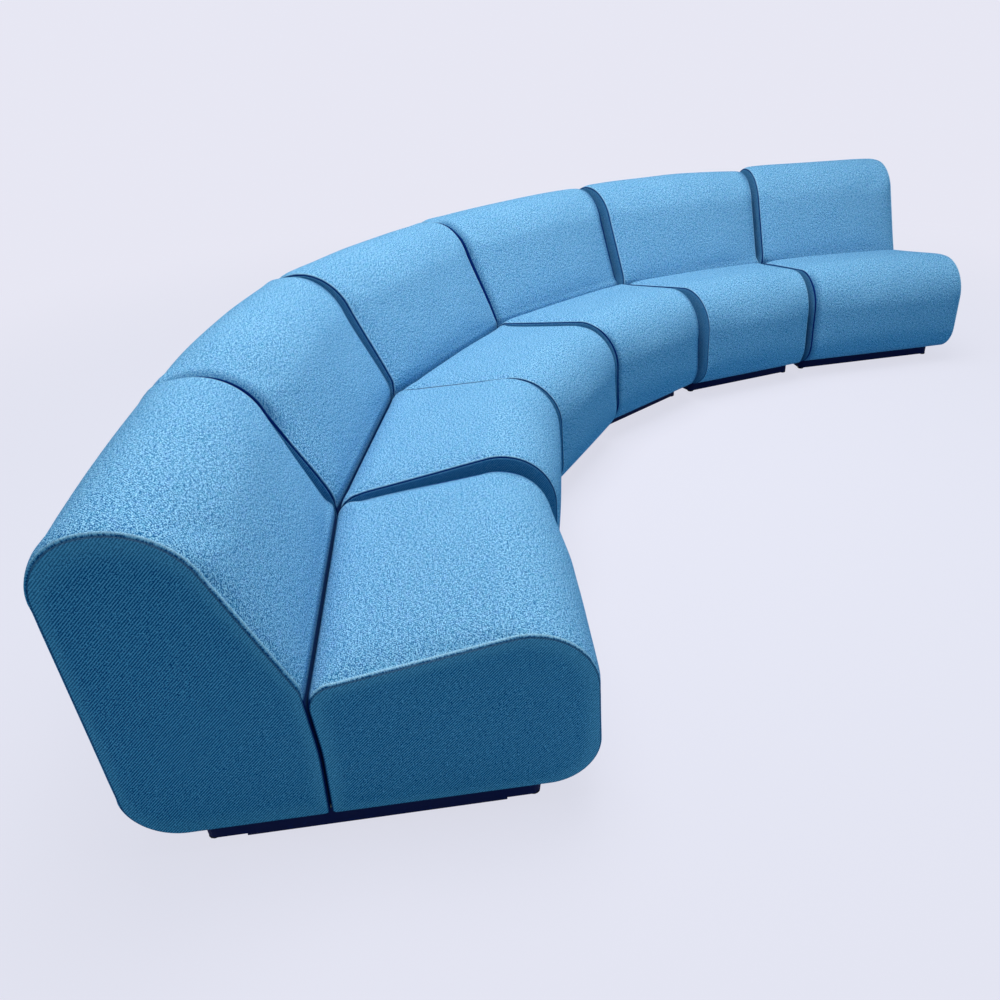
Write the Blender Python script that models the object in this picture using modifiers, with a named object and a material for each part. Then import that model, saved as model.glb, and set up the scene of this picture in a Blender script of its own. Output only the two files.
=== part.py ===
"""A modular sectional sofa: a straight seat at each end and four wedge seats between, set out in a curve.

Metres, +Z up. The origin is on the floor, at the middle of the sofa's plan extents. +X runs along its
longest extent and the hollow side of the curve, where people sit, faces -Y.

Each seat has its own frame: x across it, y from its crease towards its back, z up, with the origin on
the floor under the middle of the crease. Distances from front to back are measured along the side seam,
forward of the crease, so that the straight and the wedge seats share one side outline.
"""

import math

import bmesh
import bpy
from mathutils import Matrix, Vector

# Widths of the two kinds of seat, along the crease, and the angle between a wedge's sides
STRAIGHT_WIDTH = 0.666
WEDGE_WIDTH = 0.682
WEDGE_ANGLE = math.radians(22.5)

# How the seats stand beside each other, from the left: apart, stepped forward, and opened to the front
SEAT_NAMES = ("left_end", "wedge_1", "wedge_2", "wedge_3", "wedge_4", "right_end")
JUNCTION_GAP = 0.010
GAP_SHARES = (1.6, 0.4, 1.0, 1.3, 1.3)
JUNCTION_STEP = 0.010
STEP_SHARES = (0.2, 0.9, -1.6, 0.9, -1.3)
JUNCTION_OPENING = math.radians(1.0)
OPENING_SHARES = (1.9, 0.0, 1.1, 1.5, 1.2)

# Heights from the floor: the pads' underside, the crease, and the outline's corners before rounding
PAD_BOTTOM = 0.052
CREASE_HEIGHT = 0.359
BACK_REAR_HEIGHT = 0.695
BACK_FRONT_HEIGHT = 0.711
SEAT_REAR_HEIGHT = 0.355
SEAT_FRONT_HEIGHT = 0.447

# Distances from the crease along the side seam
BACK_DEPTH = 0.357
BACK_LEAN = 0.008
BACK_TOP_SETBACK = 0.148
SEAT_DEPTH = 0.5245

# Radii of the side outline
BACK_BOTTOM_RADIUS = 0.098
BACK_REAR_RADIUS = 0.114
BACK_FRONT_RADIUS = 0.144
CREASE_RADIUS = 0.029
SEAT_REAR_RADIUS = 0.050
SEAT_FRONT_RADIUS = 0.136
SEAT_BOTTOM_RADIUS = 0.103
HEM_RADIUS = 0.006

# How the padding swells between its side seams
CROWN = 0.012
SEAM_ROLL = 0.006
SEAM_ROLL_WIDTH = 0.024
FRONT_CROWN_SHARE = 0.15
FRONT_ROLL_SHARE = 0.4
SIDE_SWELL = 0.0012
BACK_CREASE_FADE = 0.100
SEAT_CREASE_FADE = 0.050
BACK_BOW_SHARE = 0.4
JOINT_GAP = 0.006
JOINT_SWELL = 0.0052
JOINT_BOW = 0.007
JOINT_BOW_RADIUS = 0.600
ROLL_SHARES = (0.25, 1.0)
CROWN_SHARES = (0.55,)
SIDE_FIELD_SHARE = 0.84

# The boards inside
PLY_THICKNESS = 0.015
DECK_INSET = 0.016
DECK_OVERHANG = 0.008
DECK_RADIUS = 0.030
BACK_BOARD_THICKNESS = 0.018
BACK_BOARD_HEIGHT = 0.535
BACK_BOARD_INSET = 0.060
BACK_BOARD_RADIUS = 0.060
BACK_BOARD_FOOT_RADIUS = 0.006
BACK_BOARD_MARGIN = 0.006

# The moulded plinth, open below
PLINTH_HEIGHT = 0.0515
PLINTH_INSET = 0.022
PLINTH_REAR = 0.245
PLINTH_FRONT = 0.405
PLINTH_RADIUS = 0.022
PLINTH_WALL = 0.012
PLINTH_RIB = 0.007
PLINTH_TOP = 0.006
CORNER_BLOCK = 0.075
SKID_REAR = 0.170
SKID_FRONT = 0.337
SKID_WIDTH = 0.010
SKID_TAPER = 0.004

# The levelling glides under the plinth's corners
GLIDE_RADIUS = 0.013
GLIDE_THICKNESS = 0.005
GLIDE_CHAMFER = 0.0015
GLIDE_INSET = 0.015
STEM_RADIUS = 0.004
STEM_HEIGHT = 0.024
GLIDE_SIDES = 12

# The steel plates that join neighbouring plinths from below
PLATE_LENGTH = 0.200
PLATE_WIDTH = 0.028
PLATE_THICKNESS = 0.003
PLATE_RADIUS = 0.006
PLATE_SLOT_LENGTH = 0.026
PLATE_SLOT_WIDTH = 0.0065
PLATE_SLOT_INSET = 0.034

# The gap between pieces that touch, how far a cut runs past what it cuts, what counts as one point, the
# turn below which two faces are one flat, and the turn above which an edge stays sharp
SEATING_GAP = 0.0003
OVERRUN = 0.010
WELD = 0.00003
FLAT_ANGLE = math.radians(0.1)
CREASED_ANGLE = math.radians(40)

# Segments in each round stretch
PAD_STEPS = 6
SMALL_STEPS = 3
BOARD_STEPS = 4


class Seat:
    """One seat of the sofa, with its half width at the crease and the turn of each side seam."""

    def __init__(self, name, width, angle):
        self.name = name
        self.half_width = width / 2
        self.tilt = angle / 2
        self.heading = 0.0
        self.middle = Vector((0.0, 0.0))
        self.anchor = None

    def back(self, forward):
        """The y of a place this far forward of the crease along the side seam."""
        return -forward * math.cos(self.tilt)

    def side(self, forward, inset):
        """The x of a place that far forward, this far in from the side seam."""
        return self.half_width - forward * math.sin(self.tilt) - inset / math.cos(self.tilt)

    def across(self, side):
        """The direction from left to right, square to the left (-1) or right (+1) side seam."""
        angle = self.heading - side * self.tilt
        return Vector((math.cos(angle), math.sin(angle)))

    def crease_end(self, side):
        """Where the crease meets the left (-1) or right (+1) side seam, on the plan."""
        heading = Vector((math.cos(self.heading), math.sin(self.heading)))
        return self.middle + heading * self.half_width * side


def forward_of(across):
    """The direction towards the front, square to a direction from left to right."""
    return Vector((across.y, -across.x))


# Shapes


def rounded(corners, radii, steps):
    """The outline through these corners, each turned by an arc: (point, corner, share of its arc)."""
    outline = []
    for index, corner in enumerate(corners):
        here = Vector(corner)
        into = (Vector(corners[index - 1]) - here).normalized()
        out = (Vector(corners[(index + 1) % len(corners)]) - here).normalized()
        turn = math.pi - into.angle(out)
        reach = radii[index] * math.tan(turn / 2)
        centre = here + (into + out).normalized() * radii[index] / math.cos(turn / 2)
        start = here + into * reach - centre
        end = here + out * reach - centre
        for step in range(steps[index] + 1):
            share = step / steps[index]
            arm = start * math.sin((1 - share) * turn) + end * math.sin(share * turn)
            outline.append((centre + arm / math.sin(turn), index, share))
    return outline


def rounded_shape(corners, radius, steps=BOARD_STEPS):
    """The points of a flat shape whose corners share one radius."""
    outline = rounded(corners, [radius] * len(corners), [steps] * len(corners))
    return [point for point, _, _ in outline]


def new_object(name, mesh, collection, material, anchor=None):
    """An object for this mesh in a collection, with its material, held by an empty where one is given."""
    item = bpy.data.objects.new(name, mesh)
    collection.objects.link(item)
    mesh.materials.append(material)
    if anchor:
        item.parent = anchor
    return item


def extruded(name, shapes, thickness, collection, material, anchor=None):
    """Flat outlines as one curve object, given a thickness about its own plane, then made a mesh."""
    curve = bpy.data.curves.new(name, "CURVE")
    curve.dimensions = "2D"
    curve.fill_mode = "BOTH"
    curve.extrude = thickness / 2
    for shape in shapes:
        spline = curve.splines.new("POLY")
        spline.points.add(len(shape) - 1)
        for knot, point in zip(spline.points, shape):
            knot.co = (point[0], point[1], 0.0, 1.0)
        spline.use_cyclic_u = True
    drawn = bpy.data.objects.new(name, curve)
    collection.objects.link(drawn)
    graph = bpy.context.evaluated_depsgraph_get()
    mesh = bpy.data.meshes.new_from_object(drawn.evaluated_get(graph))
    bpy.data.objects.remove(drawn)
    welded = bmesh.new()
    welded.from_mesh(mesh)
    bmesh.ops.remove_doubles(welded, verts=welded.verts, dist=WELD)
    bmesh.ops.dissolve_limit(welded, angle_limit=FLAT_ANGLE, verts=welded.verts, edges=welded.edges)
    bmesh.ops.recalc_face_normals(welded, faces=welded.faces)
    welded.to_mesh(mesh)
    welded.free()
    mesh.materials.clear()
    return new_object(name, mesh, collection, material, anchor)


def cutter(name, shapes, thickness, anchor):
    """An extruded shape that only cuts others."""
    tool = extruded(name, shapes, thickness, cutters, cut_material, anchor)
    tool.hide_render = True
    tool.display_type = "WIRE"
    return tool


def cut(item, tool):
    """Takes the tool's shape out of the object."""
    boolean = item.modifiers.new(tool.name, "BOOLEAN")
    boolean.operation = "DIFFERENCE"
    boolean.object = tool


def lofted(name, loops, collection, material, anchor):
    """A closed skin through loops of as many points each, with a flat face over the first and last."""
    skin = bmesh.new()
    rings = []
    for loop in loops:
        corners = [skin.verts.new(point) for point in loop]
        rings.append([skin.edges.new((corners[i - 1], corners[i])) for i in range(len(corners))])
    for near, far in zip(rings, rings[1:]):
        bmesh.ops.bridge_loops(skin, edges=near + far)
    bmesh.ops.contextual_create(skin, geom=rings[0])
    bmesh.ops.contextual_create(skin, geom=rings[-1])
    bmesh.ops.recalc_face_normals(skin, faces=skin.faces)
    mesh = bpy.data.meshes.new(name)
    skin.to_mesh(mesh)
    skin.free()
    mesh.shade_smooth()
    mesh.set_sharp_from_angle(angle=CREASED_ANGLE)
    return new_object(name, mesh, collection, material, anchor)


def turned(name, profile, sides, collection, material, anchor):
    """A solid of revolution about z. The profile runs from the top of its outer side to the bottom."""
    mesh = bpy.data.meshes.new(name)
    edges = [(i, i + 1) for i in range(len(profile) - 1)]
    mesh.from_pydata([(radius, 0.0, height) for radius, height in profile], edges, [])
    item = new_object(name, mesh, collection, material, anchor)
    spin = item.modifiers.new("turn", "SCREW")
    spin.steps = sides
    spin.render_steps = sides
    spin.use_merge_vertices = True
    spin.merge_threshold = WELD
    return item


# Materials


def new_material(name, colour, roughness, metallic=0.0):
    """A Principled surface of one colour."""
    surface = bpy.data.materials.new(name)
    surface.use_nodes = True
    shader = surface.node_tree.nodes["Principled BSDF"]
    shader.inputs["Base Color"].default_value = (*colour, 1.0)
    shader.inputs["Roughness"].default_value = roughness
    shader.inputs["Metallic"].default_value = metallic
    surface.diffuse_color = (*colour, 1.0)
    return surface


# Padding


def back_outline():
    """The back pad's side outline as (forward, height), with what each stretch swells by."""
    joint = -JOINT_GAP / 2
    corners = (
        (-BACK_DEPTH, PAD_BOTTOM),
        (-BACK_DEPTH - BACK_LEAN, BACK_REAR_HEIGHT),
        (-BACK_TOP_SETBACK, BACK_FRONT_HEIGHT),
        (joint, CREASE_HEIGHT),
        (joint + JOINT_BOW, (PAD_BOTTOM + CREASE_HEIGHT) / 2),
        (joint, PAD_BOTTOM),
    )
    radii = (
        BACK_BOTTOM_RADIUS, BACK_REAR_RADIUS, BACK_FRONT_RADIUS, CREASE_RADIUS, JOINT_BOW_RADIUS, HEM_RADIUS,
    )
    steps = (PAD_STEPS, PAD_STEPS, PAD_STEPS, SMALL_STEPS, SMALL_STEPS - 1, 1)
    crown_shares = (0.0, 1.0, 1.0, 1.0, 0.0, 0.0)
    roll_shares = (0.0, 1.0, 1.0, 1.0, JOINT_SWELL / SEAM_ROLL / 2, JOINT_SWELL / SEAM_ROLL / 2)
    return swelling(rounded(corners, radii, steps), crown_shares, roll_shares, BACK_CREASE_FADE)


def seat_outline():
    """The seat pad's side outline as (forward, height), with what each stretch swells by."""
    joint = JOINT_GAP / 2
    corners = (
        (joint, PAD_BOTTOM),
        (joint + JOINT_BOW, (PAD_BOTTOM + CREASE_HEIGHT) / 2),
        (joint, SEAT_REAR_HEIGHT),
        (SEAT_DEPTH, SEAT_FRONT_HEIGHT),
        (SEAT_DEPTH, PAD_BOTTOM),
    )
    radii = (HEM_RADIUS, JOINT_BOW_RADIUS, SEAT_REAR_RADIUS, SEAT_FRONT_RADIUS, SEAT_BOTTOM_RADIUS)
    steps = (1, SMALL_STEPS - 1, SMALL_STEPS + 1, PAD_STEPS + 1, PAD_STEPS)
    crown_shares = (0.0, 0.0, 0.0, 1.0, FRONT_CROWN_SHARE)
    roll_shares = (0.0, JOINT_SWELL / SEAM_ROLL / 2, JOINT_SWELL / SEAM_ROLL / 2, 1.0, FRONT_ROLL_SHARE)
    return swelling(rounded(corners, radii, steps), crown_shares, roll_shares, SEAT_CREASE_FADE)


def swelling(outline, crown_shares, roll_shares, crease_fade):
    """(point, outward direction, crown, roll) along an outline. A stretch leads into the corner of its
    number, an arc blends the two beside it, and the crown fades out near the crease."""
    crease = Vector((0.0, CREASE_HEIGHT))
    points = []
    for number, (point, index, share) in enumerate(outline):
        after = (index + 1) % len(crown_shares)
        crown = crown_shares[index] * (1 - share) + crown_shares[after] * share
        roll = roll_shares[index] * (1 - share) + roll_shares[after] * share
        along = outline[(number + 1) % len(outline)][0] - outline[number - 1][0]
        outward = Vector((-along.y, along.x)).normalized()
        fade = min(1.0, (point - crease).length / crease_fade)
        points.append((point, outward, crown * fade, roll))
    return points


def section(seat, share, outline, bow):
    """The pad's outline at this share of its half width, swollen, and bowed to the rear behind the crease."""
    distance = (1 - abs(share)) * seat.half_width
    rise = SEAM_ROLL * math.sqrt(1 - max(0.0, 1 - distance / SEAM_ROLL_WIDTH) ** 2)
    crown = CROWN * (1 - share ** 2)
    loop = []
    for point, outward, crown_share, roll_share in outline:
        forward, height = point + outward * (crown * crown_share + rise * roll_share)
        rearward = bow * (1 - share ** 2) * max(0.0, -forward / BACK_DEPTH)
        x = share * seat.side(forward, 0.0)
        loop.append((x, seat.back(forward) + rearward, height))
    return loop


def side_field(seat, side, outline):
    """The flat middle of a side panel, a little proud of the seam round it."""
    middle = sum((point for point, *_ in outline), Vector((0.0, 0.0))) / len(outline)
    swell_x = SIDE_SWELL * math.cos(seat.tilt)
    swell_y = SIDE_SWELL * math.sin(seat.tilt)
    loop = []
    for point, *_ in outline:
        forward, height = middle + (point - middle) * SIDE_FIELD_SHARE
        loop.append((side * (seat.side(forward, 0.0) + swell_x), seat.back(forward) - swell_y, height))
    return loop


def pad(seat, name, outline):
    """An upholstered pad: sections from side seam to side seam, drawn in at the seams."""
    rolls = [1 - share * SEAM_ROLL_WIDTH / seat.half_width for share in ROLL_SHARES]
    rightward = [0.0, *reversed(CROWN_SHARES), *reversed(rolls), 1.0]
    shares = [-share for share in reversed(rightward)] + rightward[1:]
    arc = (seat.half_width + BACK_DEPTH * math.sin(seat.tilt)) * math.tan(seat.tilt / 2)
    bow = arc * BACK_BOW_SHARE
    loops = [section(seat, share, outline, bow) for share in shares]
    loops.insert(0, side_field(seat, -1, outline))
    loops.append(side_field(seat, 1, outline))
    return lofted(f"{seat.name}_{name}", loops, parts, fabric, seat.anchor)


# Boards


def trapezium(seat, rear, front, inset):
    """The plan corners between two distances forward of the crease, this far in from the side seams."""
    return [
        (-seat.side(rear, inset), seat.back(rear)),
        (-seat.side(front, inset), seat.back(front)),
        (seat.side(front, inset), seat.back(front)),
        (seat.side(rear, inset), seat.back(rear)),
    ]


def deck_shape(seat, clearance):
    """The deck's plan outline, grown by a clearance."""
    rear = -PLINTH_REAR - DECK_OVERHANG - clearance
    front = PLINTH_FRONT + DECK_OVERHANG + clearance
    return rounded_shape(trapezium(seat, rear, front, DECK_INSET - clearance), DECK_RADIUS + clearance)


def deck(seat):
    """The plywood deck on the plinth, let into the underside of both pads."""
    board = extruded(f"{seat.name}_deck", [deck_shape(seat, 0.0)], PLY_THICKNESS, parts, plywood, seat.anchor)
    board.location.z = PLINTH_HEIGHT + SEATING_GAP + PLY_THICKNESS / 2
    return board


def deck_recess(seat):
    """The hollow for the deck in the pads' underside."""
    ceiling = PLINTH_HEIGHT + PLY_THICKNESS + 2 * SEATING_GAP
    floor = PAD_BOTTOM - OVERRUN
    tool = cutter(f"{seat.name}_deck_recess", [deck_shape(seat, SEATING_GAP)], ceiling - floor, seat.anchor)
    tool.location.z = (ceiling + floor) / 2
    return tool


def back_board_shape(seat, clearance, lower):
    """The back board seen from the front, standing on the deck, grown by a clearance and lengthened."""
    half_width = seat.side(-PLINTH_REAR, BACK_BOARD_INSET) + clearance
    bottom = -lower
    top = BACK_BOARD_HEIGHT + clearance
    corners = [(-half_width, bottom), (half_width, bottom), (half_width, top), (-half_width, top)]
    foot_radius = BACK_BOARD_FOOT_RADIUS
    radii = (foot_radius, foot_radius, BACK_BOARD_RADIUS + clearance, BACK_BOARD_RADIUS + clearance)
    steps = (1, 1, BOARD_STEPS, BOARD_STEPS)
    return [point for point, _, _ in rounded(corners, radii, steps)]


def stand_on_deck(seat, board):
    """Turns a flat board upright, just inside the deck's rear edge."""
    forward = -PLINTH_REAR - DECK_OVERHANG + BACK_BOARD_MARGIN
    board.rotation_euler.x = math.pi / 2
    board.location.y = seat.back(forward) - BACK_BOARD_THICKNESS / 2
    board.location.z = PLINTH_HEIGHT + PLY_THICKNESS + 2 * SEATING_GAP
    return board


def back_board(seat):
    """The upright plywood board inside the back pad."""
    shape = back_board_shape(seat, 0.0, 0.0)
    board = extruded(f"{seat.name}_back_board", [shape], BACK_BOARD_THICKNESS, parts, plywood, seat.anchor)
    return stand_on_deck(seat, board)


def back_board_slot(seat):
    """The slot that the back board stands in, open to the deck's recess below."""
    shape = back_board_shape(seat, SEATING_GAP, PLY_THICKNESS / 2)
    thickness = BACK_BOARD_THICKNESS + 2 * SEATING_GAP
    return stand_on_deck(seat, cutter(f"{seat.name}_back_board_slot", [shape], thickness, seat.anchor))


# Plinths


def skid_relief_shape(seat):
    """All of the plinth's underside but a tapered skid along each side, as one H-shaped outline."""
    rear = -PLINTH_REAR - OVERRUN
    front = PLINTH_FRONT + OVERRUN
    outer = PLINTH_INSET - OVERRUN
    inner = PLINTH_INSET + SKID_WIDTH
    right = [
        (seat.side(rear, outer), seat.back(rear)),
        (seat.side(-SKID_REAR, outer), seat.back(-SKID_REAR)),
        (seat.side(-SKID_REAR, inner), seat.back(-SKID_REAR + SKID_TAPER)),
        (seat.side(SKID_FRONT, inner), seat.back(SKID_FRONT - SKID_TAPER)),
        (seat.side(SKID_FRONT, outer), seat.back(SKID_FRONT)),
        (seat.side(front, outer), seat.back(front)),
    ]
    return right + [(-x, y) for x, y in reversed(right)]


def cell_row(seat, rear, front, inset, count):
    """A row of hollow cells across the plinth, with a rib between each two."""
    rear_half = seat.side(rear, inset)
    front_half = seat.side(front, inset)
    cells = []
    for number in range(count):
        left_share = 2 * number / count - 1
        right_share = 2 * (number + 1) / count - 1
        left_rib = PLINTH_RIB / 2 if number else 0.0
        right_rib = PLINTH_RIB / 2 if number < count - 1 else 0.0
        cells.append([
            (rear_half * left_share + left_rib, seat.back(rear)),
            (front_half * left_share + left_rib, seat.back(front)),
            (front_half * right_share - right_rib, seat.back(front)),
            (rear_half * right_share - right_rib, seat.back(rear)),
        ])
    return cells


def cell_shapes(seat):
    """The plinth's hollow cells: two rows between the skids, and one between each pair of blocks."""
    rear_block = -PLINTH_REAR + CORNER_BLOCK
    front_block = PLINTH_FRONT - CORNER_BLOCK
    middle = (rear_block + front_block) / 2
    wall = PLINTH_INSET + PLINTH_WALL
    block = PLINTH_INSET + CORNER_BLOCK
    return (
        cell_row(seat, -PLINTH_REAR + PLINTH_WALL, rear_block - PLINTH_RIB / 2, block, 2)
        + cell_row(seat, rear_block + PLINTH_RIB / 2, middle - PLINTH_RIB / 2, wall, 3)
        + cell_row(seat, middle + PLINTH_RIB / 2, front_block - PLINTH_RIB / 2, wall, 3)
        + cell_row(seat, front_block + PLINTH_RIB / 2, PLINTH_FRONT - PLINTH_WALL, block, 2)
    )


def glide_places(seat):
    """The glides' plan places, by corner."""
    rear = -PLINTH_REAR + GLIDE_INSET
    front = PLINTH_FRONT - GLIDE_INSET
    inset = PLINTH_INSET + GLIDE_INSET
    return {
        "rear_left": (-seat.side(rear, inset), seat.back(rear)),
        "rear_right": (seat.side(rear, inset), seat.back(rear)),
        "front_left": (-seat.side(front, inset), seat.back(front)),
        "front_right": (seat.side(front, inset), seat.back(front)),
    }


def stem_hole_shape(place):
    """A stem's hole in plan, its facets in line with the stem's."""
    radius = STEM_RADIUS + SEATING_GAP / math.cos(math.pi / GLIDE_SIDES)
    angles = [2 * math.pi * number / GLIDE_SIDES for number in range(GLIDE_SIDES)]
    return [(place[0] + radius * math.cos(angle), place[1] + radius * math.sin(angle)) for angle in angles]


def plinth(seat):
    """The moulded plinth: a tray open below, ribbed, with a skid down each side and four corner blocks."""
    shape = rounded_shape(trapezium(seat, -PLINTH_REAR, PLINTH_FRONT, PLINTH_INSET), PLINTH_RADIUS)
    tray = extruded(f"{seat.name}_plinth", [shape], PLINTH_HEIGHT, parts, moulding, seat.anchor)
    tray.location.z = PLINTH_HEIGHT / 2

    lift = GLIDE_THICKNESS + SEATING_GAP
    relief = cutter(f"{seat.name}_skid_relief", [skid_relief_shape(seat)], lift + OVERRUN, seat.anchor)
    relief.location.z = (lift - OVERRUN) / 2
    cut(tray, relief)

    depth = PLINTH_HEIGHT - PLINTH_TOP
    cells = cutter(f"{seat.name}_plinth_cells", cell_shapes(seat), depth + OVERRUN, seat.anchor)
    cells.location.z = (depth - OVERRUN) / 2
    cut(tray, cells)

    reach = GLIDE_THICKNESS + STEM_HEIGHT + SEATING_GAP
    holes = [stem_hole_shape(place) for place in glide_places(seat).values()]
    stems = cutter(f"{seat.name}_stem_holes", holes, reach + OVERRUN, seat.anchor)
    stems.location.z = (reach - OVERRUN) / 2
    cut(tray, stems)
    return tray


def glides(seat):
    """A levelling glide under each corner: a round foot on a stem that screws down out of the plinth."""
    profile = (
        (0.0, GLIDE_THICKNESS + STEM_HEIGHT),
        (STEM_RADIUS, GLIDE_THICKNESS + STEM_HEIGHT),
        (STEM_RADIUS, GLIDE_THICKNESS),
        (GLIDE_RADIUS, GLIDE_THICKNESS),
        (GLIDE_RADIUS, GLIDE_CHAMFER),
        (GLIDE_RADIUS - GLIDE_CHAMFER, 0.0),
        (0.0, 0.0),
    )
    for corner, place in glide_places(seat).items():
        foot = turned(f"{seat.name}_glide_{corner}", profile, GLIDE_SIDES, parts, glide_plastic, seat.anchor)
        foot.location.x, foot.location.y = place


# Joining plates


def plate_slot_shape(centre):
    """An oblong slot along the plate."""
    half_length = PLATE_SLOT_LENGTH / 2
    half_width = PLATE_SLOT_WIDTH / 2
    corners = [
        (centre - half_length, -half_width),
        (centre + half_length, -half_width),
        (centre + half_length, half_width),
        (centre - half_length, half_width),
    ]
    return rounded_shape(corners, half_width - WELD)


def plate_crossing(seat, side):
    """Where a joining plate passes under the plinth's left (-1) or right (+1) side, on the plan: halfway
    between the rear glide's foot and the skid."""
    foot_edge = -PLINTH_REAR + GLIDE_INSET + GLIDE_RADIUS
    forward = (foot_edge - SKID_REAR) / 2
    x = side * seat.side(forward, PLINTH_INSET + SKID_WIDTH / 2)
    return seat.middle + Matrix.Rotation(seat.heading, 2) @ Vector((x, seat.back(forward)))


def joining_plate(number, left, right):
    """A slotted steel plate under the rear corner blocks of two neighbouring plinths."""
    start = plate_crossing(left, 1)
    end = plate_crossing(right, -1)
    across = end - start

    half_length = PLATE_LENGTH / 2
    half_width = PLATE_WIDTH / 2
    corners = [
        (-half_length, -half_width),
        (half_length, -half_width),
        (half_length, half_width),
        (-half_length, half_width),
    ]
    name = f"joining_plate_{number}"
    plate = extruded(name, [rounded_shape(corners, PLATE_RADIUS)], PLATE_THICKNESS, parts, steel, sofa)
    slots = [plate_slot_shape(side * (half_length - PLATE_SLOT_INSET)) for side in (-1, 1)]
    tool = cutter(f"{name}_slots", slots, PLATE_THICKNESS + 2 * OVERRUN, plate)
    cut(plate, tool)
    plate.location.xy = (start + end) / 2
    plate.location.z = GLIDE_THICKNESS - PLATE_THICKNESS / 2
    plate.rotation_euler.z = math.atan2(across.y, across.x)


# Layout


def set_out(seats):
    """Gives each seat its heading and place, each beside the last, then centres them on the origin."""
    for number, (left, right) in enumerate(zip(seats, seats[1:])):
        across = left.across(1)
        opening = JUNCTION_OPENING * OPENING_SHARES[number]
        right.heading = left.heading - left.tilt - right.tilt + opening
        corner = left.crease_end(1) + across * JUNCTION_GAP * GAP_SHARES[number]
        corner = corner + forward_of(across) * JUNCTION_STEP * STEP_SHARES[number]
        right.middle = corner + right.middle - right.crease_end(-1)

    swing = (seats[0].heading + seats[-1].heading) / 2
    for seat in seats:
        seat.middle = Matrix.Rotation(-swing, 2) @ seat.middle
        seat.heading -= swing


def anchor(seat):
    """The empty at the seat's origin that holds its pieces."""
    seat.anchor = bpy.data.objects.new(seat.name, None)
    parts.objects.link(seat.anchor)
    seat.anchor.parent = sofa
    seat.anchor.location.xy = seat.middle
    seat.anchor.rotation_euler.z = seat.heading


def centre(items):
    """Shifts the whole sofa so that the middle of its plan extents is at the origin."""
    bpy.context.view_layer.update()
    corners = [item.matrix_world @ vertex.co for item in items for vertex in item.data.vertices]
    middle_x = (min(corner.x for corner in corners) + max(corner.x for corner in corners)) / 2
    middle_y = (min(corner.y for corner in corners) + max(corner.y for corner in corners)) / 2
    sofa.location.xy = (-middle_x, -middle_y)


def new_collection(name):
    """A collection under the scene's own."""
    collection = bpy.data.collections.new(name)
    bpy.context.scene.collection.children.link(collection)
    return collection


for item in list(bpy.data.objects):
    bpy.data.objects.remove(item)

parts = new_collection("sectional_sofa")
cutters = new_collection("cutters")
cutters.hide_render = True

fabric = new_material("woven_wool", (0.090, 0.300, 0.560), 0.90)
plywood = new_material("plywood", (0.560, 0.390, 0.220), 0.60)
moulding = new_material("plinth_moulding", (0.010, 0.012, 0.045), 0.50)
steel = new_material("steel_plate", (0.420, 0.420, 0.430), 0.40, 1.0)
glide_plastic = new_material("glide_plastic", (0.015, 0.016, 0.020), 0.45)
cut_material = new_material("cut", (0.500, 0.500, 0.500), 0.50)

sofa = bpy.data.objects.new("sofa", None)
parts.objects.link(sofa)

seats = []
for seat_name in SEAT_NAMES:
    if seat_name.startswith("wedge"):
        seats.append(Seat(seat_name, WEDGE_WIDTH, WEDGE_ANGLE))
    else:
        seats.append(Seat(seat_name, STRAIGHT_WIDTH, 0.0))
set_out(seats)

pads = []
for seat in seats:
    anchor(seat)
    deck(seat)
    back_board(seat)
    recess = deck_recess(seat)
    slot = back_board_slot(seat)
    back_pad = pad(seat, "back_pad", back_outline())
    cut(back_pad, recess)
    cut(back_pad, slot)
    seat_pad = pad(seat, "seat_pad", seat_outline())
    cut(seat_pad, recess)
    pads += [back_pad, seat_pad]
    plinth(seat)
    glides(seat)

for number, (left, right) in enumerate(zip(seats, seats[1:]), start=1):
    joining_plate(number, left, right)

centre(pads)
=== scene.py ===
# %% [markdown]
# # Dressing a modular sectional sofa
# The sofa is six separate upholstered seats that stand side by side in an arc: a straight seat at each
# end and four wedges between them. Every seat is a back pad and a seat pad in sky-blue melange wool, on a
# low dark plinth with four small levelling glides.
#
# The hard parts come from the packed model and keep their shapes. The twelve pads are made again here as
# sewn covers that are swollen by a cloth simulation, because a pad's crown, its drawn-in seams and its
# weave are what one sees first. All lengths are in metres.

# %% Load the packed model
import math

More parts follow.
